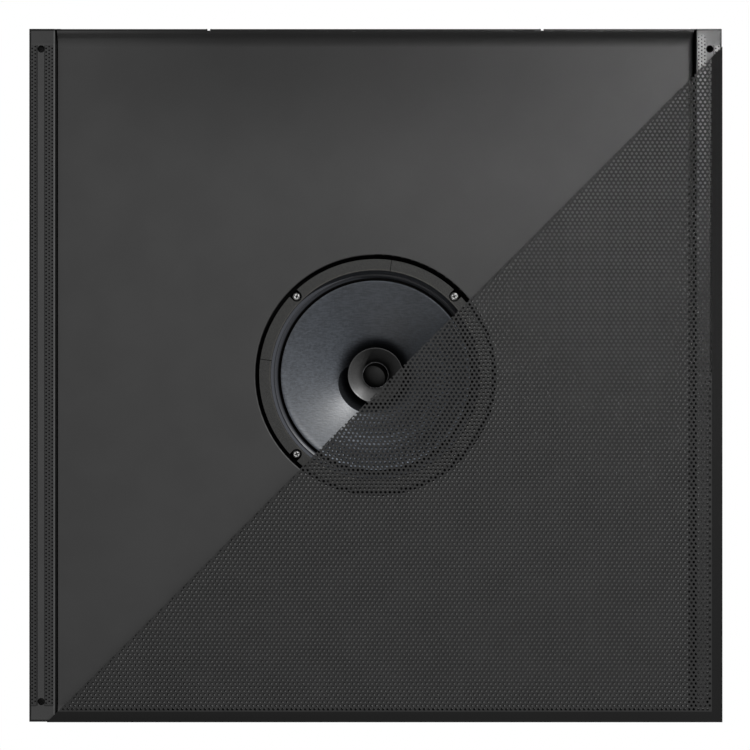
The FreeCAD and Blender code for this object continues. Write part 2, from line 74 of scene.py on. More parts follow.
# Pan and driver, in millimetres, with heights from the face
pan_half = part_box("pan")[1].x / mm
land_width = 22.7
lip_edge = pan_half - land_width
groove_gap = 1.6
floor_edge = lip_edge - groove_gap
floor_fold = 3.1
fold_sheet = 0.6
notch_place = 145.0
notch_half = 1.2
notch_reach = 2.48
notch_depth = 1.5
pan_land = low_end("pan")
pan_floor = low_end("transformer_rivets")
flange = low_end("driver_basket")
ring_inner = 100.4
ring_outer = 106.2

# Grille, in millimetres
grille_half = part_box("grille")[1].x / mm
grille_sheet = low_end("grille_pad_left_inner")
grille_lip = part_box("grille")[1].z / mm
grille_bend = 1.0
border_width = 9.4
field_edge = grille_half - border_width
cut_line = 15.8
cut_shade = 3.0
hole_diameter = 2.4
hole_pitch = 3.97
hole_row = 3.198
hole_sides = 8
field_sheet = 0.5
hole_start = (0.55, -0.83)
hole_columns = 148
band_rows = (-87, 17, 59)

# Paint on the pan, and how much paler it is painted where it lies behind the grille, as painted light
pan_grey = (0.044, 0.044, 0.044)
painted_light_behind_grille = 3.6

# Dimpled strips on the lands
long_strip = -296.5
dimple_diameter = 1.5
dimple_pitch = 3.18
dimple_row = 2.63
dimple_depth = 0.3
dimple_start = -0.4
strip_height = 0.5

# Screws
screw_radius = 97.35
screw_place = screw_radius * math.sqrt(0.5)
block_pitch = 10.5
terminal_head = 6.0
block_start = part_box("terminal_screws")[0].x / mm - (block_pitch - terminal_head) / 2
head_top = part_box("terminal_screws")[1].z / mm


class Link:
    """An output of a node. Arithmetic on it adds Math nodes to its tree."""

    def __init__(self, tree, socket=None):
        self.tree = tree
        self.socket = socket

    def node(self, kind, settings=None, sockets=None, output=0):
        """Any node: its type, its settings, which are set first, and what its sockets hold."""
        made = self.tree.nodes.new(kind)
        for name, value in (settings or {}).items():
            setattr(made, name, value)
        for name, value in (sockets or {}).items():
            for one in value if isinstance(value, list) else [value]:
                if isinstance(one, Link):
                    self.tree.links.new(one.socket, made.inputs[name])
                else:
                    made.inputs[name].default_value = one
        return Link(self.tree, made.outputs[output])

    def maths(self, operation, *values):
        return self.node("ShaderNodeMath", {"operation": operation}, dict(enumerate(values)))

    def __add__(self, other):
        return self.maths("ADD", self, other)

    __radd__ = __add__

    def __sub__(self, other):
        return self.maths("SUBTRACT", self, other)

    def __rsub__(self, other):
        return self.maths("SUBTRACT", other, self)

    def __mul__(self, other):
        return self.maths("MULTIPLY", self, other)

    __rmul__ = __mul__

    def __truediv__(self, other):
        return self.maths("DIVIDE", self, other)

    def __rtruediv__(self, other):
        return self.maths("DIVIDE", other, self)

    def __lt__(self, other):
        return self.maths("LESS_THAN", self, other)

    def __gt__(self, other):
        return self.maths("GREATER_THAN", self, other)


# Finishes

def rgba(colour):
    return (*colour, 1.0)


class Finish:
    """A material with one Principled shader, and what its maker needs to vary it over a surface."""

    def __init__(self, name, colour, roughness, metallic=0.0, specular=0.5):
        self.material = bpy.data.materials.new(name)
        self.material.use_nodes = True
        self.material.diffuse_color = rgba(colour)
        self.tree = self.material.node_tree
        self.shader = self.tree.nodes["Principled BSDF"]
        self.colour = colour
        self.set("Base Color", rgba(colour))
        self.set("Roughness", roughness)
        self.set("Metallic", metallic)
        self.set("Specular IOR Level", specular)
        self.place = Link(self.tree).node("ShaderNodeTexCoord", output="Object")

    def set(self, socket, value):
        if isinstance(value, Link):
            self.tree.links.new(value.socket, self.shader.inputs[socket])
        else:
            self.shader.inputs[socket].default_value = value

    def along(self, axis):
        return self.place.node("ShaderNodeSeparateXYZ", None, {0: self.place}, axis)

    def radius(self):
        x = self.along("X")
        y = self.along("Y")
        return x.maths("SQRT", x * x + y * y)

    def noise(self, scale, detail=3.0, rough=0.55, place=None):
        return self.place.node("ShaderNodeTexNoise", None, {
            "Vector": place or self.place, "Scale": scale, "Detail": detail, "Roughness": rough})

    def ramp(self, value, low, high):
        """Zero below low and one above high, with a soft step between."""
        return value.node("ShaderNodeMapRange", {"interpolation_type": "SMOOTHSTEP"}, {
            "Value": value, "From Min": low, "From Max": high})

    def step(self, value, low, high):
        """A soft step whose limits are in millimetres."""
        return self.ramp(value, low * mm, high * mm)

    def band(self, value, rise, fall):
        """One between two soft steps, each given by its limits in millimetres."""
        return self.step(value, *rise) * (1 - self.step(value, *fall))

    def behind_cut(self, soft=2.0):
        """One where the surface lies behind the grille, a little in from its cut."""
        return self.step(self.along("X") + self.along("Y"), cut_line + cut_shade, cut_line + cut_shade + soft)

    def mix(self, factor, first, second):
        return self.place.node("ShaderNodeMix", {"data_type": "RGBA"}, {
            0: factor, 6: first if isinstance(first, Link) else rgba(first),
            7: second if isinstance(second, Link) else rgba(second)}, 2)

    def scaled(self, colour, share):
        return colour.node("ShaderNodeVectorMath", {"operation": "SCALE"}, {0: colour, "Scale": share})

    def shade(self, share):
        return tuple(level * share for level in self.colour)

    def mottle(self, scale, amount, detail=3.0):
        """Colour that wanders a little around the finish's own."""
        cloud = self.ramp(self.noise(scale, detail), 0.3, 0.7)
        return self.mix(cloud, self.shade(1 - amount), self.shade(1 + amount))

    def bump(self, height, strength, distance):
        self.set("Normal", height.node("ShaderNodeBump", None, {
            "Height": height, "Strength": strength, "Distance": distance}))

    def stretched(self, x, y, z):
        """Object coordinates, drawn out along some axes."""
        return self.place.node("ShaderNodeMapping", None, {"Vector": self.place, "Scale": (x, y, z)})

    def around_axis(self, turns, depth):
        """Coordinates that follow the angle about Z and the radius, with no seam."""
        flat = self.place.node("ShaderNodeVectorMath", {"operation": "MULTIPLY"}, {
            0: self.place, 1: (1, 1, 0)})
        ray = flat.node("ShaderNodeVectorMath", {"operation": "NORMALIZE"}, {0: flat})
        wide = ray.node("ShaderNodeVectorMath", {"operation": "SCALE"}, {0: ray, "Scale": turns})
        rise = wide.node("ShaderNodeCombineXYZ", None, {2: self.radius() * depth})
        return wide.node("ShaderNodeVectorMath", {"operation": "ADD"}, {0: wide, 1: rise})


def pan_paint():
    """Satin coat with a fine orange peel, with painted shade: black in gaps, dark on folded edges, darker
    towards the top; and painted light: bright on the lips and lands, pale behind the grille.
    """
    paint = Finish("pan_paint", pan_grey, 0.5, specular=0.3)
    radius = paint.radius()
    x = paint.along("X")
    y = paint.along("Y")
    z = paint.along("Z")
    side = x.maths("ABSOLUTE", x)
    top = 0 - y

    def above(level, soft):
        return paint.step(z, level, level + soft)

    # Painted shade in the gaps: black in the ring round the driver, the side grooves and the hollow of the
    # right channel, with a painted shadow of the lip on the bare floor beside the right groove
    land = 1 - above(pan_land + 0.1, 0.4)
    front = 1 - above(pan_floor + 5.2, 0.2)
    hidden = paint.behind_cut()
    round_gap = paint.band(radius, (ring_inner, ring_inner + 0.4), (ring_outer - 0.4, ring_outer))
    groove = x.maths("MAXIMUM", paint.step(side, floor_edge - 0.1, floor_edge + 0.3),
                     (1 - hidden) * paint.step(x, floor_edge - 3.2, floor_edge + 0.2))
    groove = groove * (1 - paint.step(side, lip_edge + 0.5, lip_edge + 1.0))
    hollow = paint.band(x, (lip_edge + 1.1, lip_edge + 1.3), (pan_half - 1.3, pan_half - 1.1))
    hollow = hollow * above(pan_land + 1.0, 0.2) * (1 - above(pan_floor + 0.05, 0.05))
    gap_shade = x.maths("MAXIMUM", round_gap * above(pan_floor + 0.05, 0.65), groove * above(pan_land + 0.15, 0.45))
    gap_shade = x.maths("MAXIMUM", gap_shade, hollow) * front

    # Edges: painted shade on the outer edge of the sheet and a painted highlight on the lips of the lands
    outer = x.maths("MAXIMUM", side, x.maths("ABSOLUTE", y))
    rim = paint.step(outer, pan_half - 2.1, pan_half - 1.5) * (1 - above(pan_land + 0.9, 0.3))
    lip_highlight = land * paint.band(side, (lip_edge + 0.5, lip_edge + 0.7), (lip_edge + 1.3, lip_edge + 1.5))

    # Painted shade and light: darker towards the top; over the swept end lighter on the left and darker on
    # the right, darker still on its crest; brighter on the lands by the strips; paler behind the grille, less
    # so on the lands
    under = hidden * (1 - above(pan_floor + 0.3, 0.1))
    inside = side < floor_edge * mm
    top_shade = paint.step(top, 160.0, 280.0) * (1 - paint.step(side, 100.0, 360.0)) * (1 - under)
    sweep = paint.step(top, pan_half - 17.0, pan_half - 7.0) * inside
    crest = paint.step(top, pan_half - 6.0, pan_half - 3.0) * inside
    rightward = paint.step(x, -280.0, -100.0)
    strip_land = land * (side > lip_edge * mm) * paint.step(y, -290.0, -286.0)
    tone = (1 - 0.52 * top_shade) * (1.4 - 0.4 * sweep.maths("MAXIMUM", 1 - sweep, rightward))
    tone = tone * (1 - 0.3 * sweep * rightward) * (1 - (0.1 + 0.45 * rightward) * crest)
    tone = tone * (1 + 0.28 * strip_land) * (1 + 0.7 * lip_highlight) * (1 - 0.93 * rim)
    tone = tone * (1 - 0.55 * under * land)

    # Painted light: the coat is paler behind the grille; painted shade: near black in the gaps, less black on
    # the left
    coat = paint.mix(under, paint.mottle(22.0, 0.05), paint.shade(painted_light_behind_grille))
    left_groove = x < -0.2
    black = paint.mix(left_groove, (0.004, 0.004, 0.004), (0.02, 0.02, 0.02))
    paint.set("Base Color", paint.mix(gap_shade, paint.scaled(coat, tone), black))
    paint.set("Metallic", gap_shade)
    paint.set("Roughness", 0.46 + 0.08 * paint.noise(60.0) + 0.4 * gap_shade - 0.16 * land)
    paint.bump(paint.noise(1400.0, 2.0), 0.12, 0.0002)
    return paint.material


def grille_paint():
    """Matt black coat, lighter on the perforated field than on the plain border, with painted shade towards
    the upper right corner.
    """
    paint = Finish("grille_paint", (0.041, 0.041, 0.041), 0.75, specular=0.03)
    x = paint.along("X")
    y = paint.along("Y")
    border = x.maths("MAXIMUM", x, y) > field_edge * mm
    # Painted shade: darker towards the upper right corner, where the corner lamp falls
    corner = paint.ramp(x - y, 0.25, 0.58)
    field = paint.mix(0.45 * corner, paint.mottle(30.0, 0.06), (0.012, 0.012, 0.012))
    plain = paint.mix(corner, (0.018, 0.018, 0.018), (0.010, 0.010, 0.010))
    paint.set("Base Color", paint.mix(border, field, plain))
    paint.set("Roughness", 0.65 + 0.1 * paint.noise(90.0))
    paint.bump(paint.noise(1800.0, 2.0), 0.15, 0.0002)
    return paint.material


def strip_finish():
    """Dark flexible strip with a soft sheen, with painted shade black in its pits and painted light behind
    the grille, where it is pale, paler towards the bottom.
    """
    strip = Finish("grille_pad", (0.018, 0.018, 0.018), 0.3, specular=0.62)
    front = pan_land - strip_height
    under = strip.behind_cut()
    # Painted shade: near black in the pits, where they lie outside the grille
    pit_shade = strip.step(strip.along("Z"), front + 0.1, front + 0.2) * (1 - under)
    # Painted light: paler behind the grille, most towards the bottom
    far = strip.step(strip.along("Y"), -250.0, 100.0)
    pale = strip.mix(far, strip.shade(6.5), strip.shade(12.0))
    face = strip.mix(under, strip.mottle(160.0, 0.12), pale)
    strip.set("Base Color", strip.mix(pit_shade, face, strip.shade(0.15)))
    strip.set("Metallic", pit_shade)
    strip.set("Roughness", 0.24 + 0.12 * strip.noise(240.0) + 0.6 * pit_shade)
    strip.bump(strip.noise(2600.0, 2.0), 0.1, 0.0002)
    return strip.material


def basket_paint():
    """Black paint, with painted shade: near black and dull on the rim that looks out past the gasket."""
    paint = Finish("basket_paint", (0.012, 0.012, 0.013), 0.45, specular=0.3)
    # Painted shade: the rim shows in the ring round the driver, and is near black
    rim = 1 - paint.step(paint.along("Z"), flange + 0.9, flange + 1.1)
    paint.set("Base Color", paint.mix(rim, paint.mottle(45.0, 0.15), (0.001, 0.001, 0.001)))
    paint.set("Metallic", rim)
    paint.set("Roughness", 0.38 + 0.16 * paint.noise(80.0) + 0.4 * rim)
    paint.bump(paint.noise(1200.0, 2.0), 0.15, 0.0002)
    return paint.material


def gasket_fibre():
    """Grey pressed fibre: short matted hairs, a painted highlight along the inner edge, and painted light
    behind the grille, where it is pale.
    """
    fibre = Finish("gasket_fibre", (0.046, 0.046, 0.045), 0.85, specular=0.1)
    hair = fibre.noise(1.0, 4.0, 0.7, fibre.around_axis(260.0, 2600.0))
    speck = fibre.noise(1500.0, 3.0)
    tone = fibre.ramp(hair * 0.6 + speck * 0.4, 0.3, 0.7)
    # Painted highlight: a patchy light ring along the inner edge
    edge_highlight = fibre.band(fibre.radius(), (91.7, 92.0), (92.5, 93.0))
    board = fibre.mix(tone, fibre.shade(0.62), fibre.shade(1.46))
    board = fibre.mix(edge_highlight * fibre.ramp(hair, 0.42, 0.62), board, (0.090, 0.086, 0.078))
    # Painted light: paler behind the grille
    fibre.set("Base Color", fibre.scaled(board, 1 + 1.8 * fibre.behind_cut()))
    fibre.bump(hair * 0.5 + speck, 0.35, 0.0004)
    return fibre.material


def surround_cloth():
    """Doped cloth with a soft shine, painted shade near black in the groove along the cone's edge, and
    painted light on the outer part in the gasket's shadow.
    """
    cloth = Finish("surround_cloth", (0.034, 0.036, 0.041), 0.6, specular=0.06)
    weave = cloth.noise(1.0, 2.0, 0.5, cloth.around_axis(420.0, 3600.0))
    radius = cloth.radius()
    # Painted shade: near black in the groove along the cone's edge
    groove_shade = 1 - cloth.step(radius, 84.8, 86.2)
    ridge = cloth.band(radius, (86.6, 87.2), (88.5, 89.0))
    tone = cloth.mix(cloth.ramp(weave, 0.3, 0.7), cloth.shade(0.85), cloth.shade(1.15))
    # Painted light: lighter on the outer part, in the gasket's shadow
    tone = cloth.mix(cloth.step(radius, 88.0, 89.5), tone, cloth.shade(1.75))
    cloth.set("Base Color", cloth.mix(groove_shade, tone, (0.002, 0.002, 0.002)))
    cloth.set("Metallic", groove_shade)
    cloth.set("Coat Weight", 0.7 * ridge)
    cloth.set("Coat Roughness", 0.34)
    cloth.bump(weave, 0.12, 0.0003)
    return cloth.material


def cone_paper():
    """Blue-grey cone of a fine pressed weave, with painted shade near black round the neck, and painted light
    behind the grille, where it is pale, most towards the lower left.
    """
    paper = Finish("cone_paper", (0.045, 0.0505, 0.0595), 0.42, specular=0.5)
    warp = paper.noise(1.0, 2.0, 0.6, paper.stretched(130.0, 800.0, 800.0))
    weft = paper.noise(1.0, 2.0, 0.6, paper.stretched(800.0, 260.0, 260.0))
    weave = 0.72 * warp + 0.28 * weft
    cloud = paper.noise(45.0, 3.0)
    tone = paper.ramp(weave * 0.8 + cloud * 0.2, 0.34, 0.66)
    # Painted shade: near black round the neck
    neck = 1 - paper.step(paper.radius(), 25.0, 39.0)
    sheet = paper.mix(tone, paper.shade(0.66), paper.shade(1.34))
    # Painted light: paler behind the grille, most towards the lower left
    lower_left = paper.step(paper.along("Y") - paper.along("X"), 0.0, 70.0)
    sheet = paper.scaled(sheet, 1 + paper.behind_cut(3.0) * (0.8 + 3.0 * lower_left))
    paper.set("Base Color", paper.mix(0.92 * neck, sheet, (0.004, 0.004, 0.005)))
    paper.set("Metallic", 0.85 * neck)
    paper.set("Roughness", 0.36 + 0.12 * weave)
    paper.bump(weave, 0.3, 0.0004)
    return paper.material


def whizzer_paper():
    """Smooth hard grey paper, with painted shade darkening the throat."""
    paper = Finish("whizzer_paper", (0.043, 0.043, 0.043), 0.4, specular=0.5)
    fibre = paper.noise(420.0, 4.0, 0.65)
    # Painted shade: darker in the throat
    throat = 1 - paper.step(paper.radius(), 12.2, 17.5)
    sheet = paper.mix(paper.ramp(fibre, 0.3, 0.7), paper.shade(0.86), paper.shade(1.14))
    paper.set("Base Color", paper.mix(0.6 * throat, sheet, (0.006, 0.006, 0.006)))
    paper.set("Roughness", 0.36 + 0.1 * fibre)
    paper.bump(fibre, 0.12, 0.0002)
    return paper.material


def cap_paper():
    """Soft dark felt, with painted shade darker towards its edge."""
    felt = Finish("cap_paper", (0.012, 0.012, 0.012), 0.75, specular=0.1)
    nap = felt.noise(1600.0, 4.0, 0.7)
    # Painted shade: darker towards the edge
    edge = felt.step(felt.radius(), 4.0, 10.5)
    face = felt.mix(felt.ramp(nap, 0.3, 0.7), felt.shade(0.75), felt.shade(1.25))
    felt.set("Base Color", felt.mix(0.75 * edge, face, (0.002, 0.002, 0.002)))
    felt.bump(nap, 0.3, 0.0003)
    return felt.material


def bright_metal(name, colour, roughness, brush=None):
    """Bare or plated metal: cloudy shine, with fine strokes where it was brushed or turned."""
    metal = Finish(name, colour, roughness, metallic=1.0)
    cloud = metal.noise(140.0, 4.0)
    metal.set("Base Color", metal.mottle(90.0, 0.08))
    if brush == "turned":
        stroke = metal.noise(1.0, 2.0, 0.5, metal.around_axis(3.0, 5200.0))
    elif brush:
        stroke = metal.noise(1.0, 2.0, 0.5, metal.stretched(*brush))
    else:
        stroke = metal.noise(900.0, 2.0)
    metal.set("Roughness", roughness - 0.08 + 0.1 * cloud + 0.08 * stroke)
    metal.bump(stroke, 0.08, 0.0002)
    return metal.material


def rivet_metal():
    """Dull rivets; their flush ends were painted together with the front of the pan, and take its paler
    colour behind the grille, which is painted light.
    """
    metal = Finish("rivet_aluminium", (0.60, 0.60, 0.61), 0.36)
    bare = metal.step(metal.along("Z"), pan_floor + 0.05, pan_floor + 0.15)
    # Painted light: the flush ends take the pan's paler colour behind the grille
    paint = tuple(painted_light_behind_grille * level for level in pan_grey)
    metal.set("Base Color", metal.mix(bare, paint, metal.mottle(90.0, 0.08)))
    metal.set("Metallic", bare)
    metal.set("Roughness", 0.5 - 0.18 * bare + 0.12 * metal.noise(140.0, 4.0))
    metal.bump(metal.noise(900.0, 2.0), 0.08, 0.0002)
    return metal.material


def screw_zinc():
    """Bright plated screws with painted shade in their recesses: a dark cross in the driver's screws, a dark
    slot in the terminals'.
    """
    zinc = Finish("screw_zinc", (0.74, 0.74, 0.73), 0.26, metallic=1.0)
    x = zinc.along("X")
    y = zinc.along("Y")
    z = zinc.along("Z")

    def cut(value, half_width):
        size = value.maths("ABSOLUTE", value)
        return 1 - zinc.step(size, half_width - 0.15, half_width + 0.15)

    right = x.maths("ABSOLUTE", x) - screw_place * mm
    down = y.maths("ABSOLUTE", y) - screw_place * mm
    turn_cos = 0.94
    turn_sin = 0.34
    first = right * turn_cos + down * turn_sin
    second = down * turn_cos - right * turn_sin
    cross = x.maths("MAXIMUM", cut(first, 0.55) * cut(second, 2.0), cut(second, 0.55) * cut(first, 2.0))
    cross = cross * (1 - zinc.step(z, flange, flange + 0.2))
    way = x.maths("FRACT", (x - block_start * mm) / (block_pitch * mm)) - 0.5
    slot = cut(way * (block_pitch * mm), 0.6) * zinc.step(z, head_top - 0.3, head_top - 0.1)
    # Painted shade: dark in the recesses
    recess = x.maths("MAXIMUM", cross, slot)
    zinc.set("Base Color", zinc.mix(recess, zinc.mottle(900.0, 0.3), (0.02, 0.02, 0.02)))
    zinc.set("Roughness", 0.2 + 0.2 * zinc.noise(700.0, 3.0) + 0.4 * recess)
    zinc.bump(zinc.noise(800.0, 2.0) - recess, 0.6, 0.0004)
    return zinc.material


def copper_wire():
    """Fine enamelled turns, one above the other."""
    wire = Finish("coil_copper", (0.60, 0.25, 0.11), 0.32, metallic=1.0)
    radians_per_metre = 18000.0
    turns = wire.place.maths("SINE", wire.along("Z") * radians_per_metre)
    wire.set("Base Color", wire.mix(wire.ramp(turns, -0.8, 0.6), wire.shade(0.55), wire.shade(1.05)))
    wire.bump(turns, 0.5, 0.0002)
    return wire.material


def spider_cloth():
    """Amber resin-dipped cloth: a plain weave of two crossing threads."""
    cloth = Finish("spider_cloth", (0.42, 0.29, 0.12), 0.7, specular=0.3)
    radians_per_metre = 7500.0
    warp = cloth.place.maths("SINE", cloth.along("X") * radians_per_metre)
    weft = cloth.place.maths("SINE", cloth.along("Y") * radians_per_metre)
    weave = warp * weft
    cloth.set("Base Color", cloth.mix(cloth.ramp(weave, -0.7, 0.7), cloth.shade(0.6), cloth.shade(1.1)))
    cloth.bump(weave, 0.5, 0.0003)
    return cloth.material


def ferrite():
    stone = Finish("ferrite", (0.030, 0.030, 0.031), 0.5, specular=0.6)
    grain = stone.noise(700.0, 5.0, 0.7)
    stone.set("Base Color", stone.mix(stone.ramp(grain, 0.35, 0.7), stone.shade(0.7), stone.shade(1.4)))
    stone.set("Roughness", 0.42 + 0.25 * grain)
    stone.bump(grain, 0.25, 0.0003)
    return stone.material


def phenolic_card():
    card = Finish("terminal_board_card", (0.20, 0.095, 0.038), 0.5)
    fibre = card.noise(1.0, 4.0, 0.65, card.stretched(500.0, 1600.0, 900.0))
    card.set("Base Color", card.mix(card.ramp(fibre, 0.3, 0.7), card.shade(0.7), card.shade(1.25)))
    card.bump(fibre, 0.15, 0.0002)
    return card.material


def core_laminations():
    """A stack of thin varnished sheets: fine lines across the stack."""
    steel = Finish("core_steel", (0.15, 0.15, 0.16), 0.42, metallic=0.8)
    radians_per_metre = 12566.0
    sheets = steel.place.maths("SINE", steel.along("Y") * radians_per_metre)
    edge = steel.ramp(sheets, -0.9, -0.3)
    rust = steel.ramp(steel.noise(120.0, 4.0), 0.58, 0.75)
    tone = steel.mix(edge, (0.025, 0.024, 0.024), steel.colour)
    steel.set("Base Color", steel.mix(rust * 0.5, tone, (0.16, 0.085, 0.045)))
    steel.set("Roughness", 0.36 + 0.25 * rust)
    steel.bump(edge, 0.4, 0.0002)
    return steel.material


def winding_tape():
    """Turns of amber tape: overlapping edges and a waxy gloss."""
    tape = Finish("coil_tape", (0.36, 0.22, 0.035), 0.3, specular=0.5)
    turns_per_metre = 130.0
    lap = tape.place.maths("FRACT", tape.along("Z") * turns_per_metre + 0.15 * tape.noise(25.0))
    edge = 1 - tape.ramp(lap, 0.0, 0.12)
    tape.set("Base Color", tape.mix(edge, tape.mottle(60.0, 0.14), tape.shade(0.5)))
    tape.set("Roughness", 0.26 + 0.2 * tape.noise(120.0))
    tape.bump(lap, 0.3, 0.0003)
    return tape.material


def block_plastic():
    plastic = Finish("block_plastic", (0.014, 0.014, 0.015), 0.5)
    grain = plastic.noise(1500.0, 2.0)
    plastic.set("Base Color", plastic.mottle(60.0, 0.12))
    plastic.set("Roughness", 0.42 + 0.18 * grain)
    plastic.bump(grain, 0.2, 0.0002)
    return plastic.material


finishes = {
    "pan_paint": pan_paint(),
    "grille_paint": grille_paint(),
    "grille_pad": strip_finish(),
    "basket_paint": basket_paint(),
    "gasket_fibre": gasket_fibre(),
    "surround_cloth": surround_cloth(),
    "cone_paper": cone_paper(),
    "whizzer_paper": whizzer_paper(),
    "cap_paper": cap_paper(),
    "former_aluminium": bright_metal("former_aluminium", (0.17, 0.17, 0.175), 0.5, "turned"),
    "coil_copper": copper_wire(),
    "spider_cloth": spider_cloth(),
    "plated_steel": bright_metal("plated_steel", (0.27, 0.27, 0.26), 0.48),
    "ferrite": ferrite(),
    "terminal_board_card": phenolic_card(),
    "lug_tin": bright_metal("lug_tin", (0.62, 0.60, 0.55), 0.36),
    "screw_zinc": screw_zinc(),
    "core_steel": core_laminations(),
    "coil_tape": winding_tape(),
    "rivet_aluminium": rivet_metal(),
    "block_plastic": block_plastic(),
}
node_slots = {row["node"]: row["material_slot"] for row in frame["record"]["subparts"]}
for node_name, node_piece in cad_nodes.items():
    node_piece.data.materials.clear()
    node_piece.data.materials.append(finishes[node_slots[node_name]])


# Making pieces

def piece(name, mesh, slot, body, *nodes, sharp=35.0):
    """A finished piece: its mesh, its finish, the body it rides on and the nodes it stands for."""
    mesh.name = name
    mesh.materials.clear()
    mesh.materials.append(finishes[slot])
    if sharp:
        mesh.polygons.foreach_set("use_smooth", [True] * len(mesh.polygons))
        mesh.set_sharp_from_angle(angle=math.radians(sharp))
    made = bpy.data.objects.new(name, mesh)
    scene.collection.objects.link(made)
    if body:
        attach(made, body)
    if nodes:
        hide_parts(*nodes)
    return made


def evaluated(holder):
    """The mesh of an object with its modifiers applied; the object itself is taken away."""
    bpy.context.view_layer.update()
    graph = bpy.context.evaluated_depsgraph_get()
    mesh = bpy.data.meshes.new_from_object(holder.evaluated_get(graph))
    bpy.data.objects.remove(holder)
    return mesh


def holding(mesh):
    holder = bpy.data.objects.new("bench", mesh)
    scene.collection.objects.link(holder)
    return holder


def grown(tree, sizes):
    """The mesh that a node tree makes with the given sizes."""
    holder = holding(bpy.data.meshes.new("grown"))
    modifier = holder.modifiers.new("grown", "NODES")
    modifier.node_group = tree
    for socket in tree.interface.items_tree:
        if socket.in_out == "INPUT" and socket.name in sizes:
            modifier[socket.identifier] = sizes[socket.name]
    return evaluated(holder)


def thickened(mesh, thickness):
    """A flat sheet that faces down, given its thickness upwards."""
    holder = holding(mesh)
    wall = holder.modifiers.new("wall", "SOLIDIFY")
    wall.thickness = thickness
    wall.offset = -1.0
    wall.use_even_offset = False
    return evaluated(holder)


def meshed(bm):
    mesh = bpy.data.meshes.new("mesh")
    bm.to_mesh(mesh)
    bm.free()
    return mesh


def trimmed(bm, point, outward):
    """Cuts a flat sheet along a plane and throws away the side that outward points to."""
    bmesh.ops.bisect_plane(bm, geom=bm.verts[:] + bm.edges[:] + bm.faces[:], dist=1e-7,
                           plane_co=point, plane_no=outward, clear_outer=True)


def facing_down(bm):
    flipped = [face for face in bm.faces if face.normal.z > 0]
    bmesh.ops.reverse_faces(bm, faces=flipped)


def lathe(outline, segments=160):
    """A solid turned about Z from a closed outline of (radius, height) points in millimetres."""
    bm = bmesh.new()
    rings = []
    for step in range(segments):
        angle = math.tau * step / segments
        rings.append([bm.verts.new((r * math.cos(angle) * mm, r * math.sin(angle) * mm, z * mm))
                      for r, z in outline])
    for step in range(segments):
        here = rings[step]
        there = rings[(step + 1) % segments]
        for index in range(len(outline)):
            after = (index + 1) % len(outline)
            bm.faces.new((here[index], there[index], there[after], here[after]))
    bmesh.ops.remove_doubles(bm, verts=bm.verts[:], dist=1e-7)
    bmesh.ops.dissolve_degenerate(bm, dist=1e-8, edges=bm.edges[:])
    bmesh.ops.recalc_face_normals(bm, faces=bm.faces[:])
    return meshed(bm)


def smooth_line(points, steps=6):
    """A smooth line through (radius, height) points."""
    line = []
    for index in range(len(points) - 1):
        before = points[max(index - 1, 0)]
        start = points[index]
        end = points[index + 1]
        after = points[min(index + 2, len(points) - 1)]
        for step in range(steps):
            t = step / steps
            line.append(tuple(
                0.5 * (2 * b + (c - a) * t + (2 * a - 5 * b + 4 * c - d) * t * t
                       + (3 * b - a - 3 * c + d) * t * t * t)
                for a, b, c, d in zip(before, start, end, after)))
    return line + [points[-1]]


def shell(line, thickness):
    """The closed outline of a thin wall that follows a line of (radius, height) points."""
    sides = ([], [])
    for index, (r, z) in enumerate(line):
        before = line[max(index - 1, 0)]
        after = line[min(index + 1, len(line) - 1)]
        length = math.hypot(after[0] - before[0], after[1] - before[1])
        out = ((before[1] - after[1]) / length, (after[0] - before[0]) / length)
        for side, way in zip(sides, (0.5, -0.5)):
            side.append((r + out[0] * thickness * way, z + out[1] * thickness * way))
    return sides[0] + sides[1][::-1]


# Perforated grille

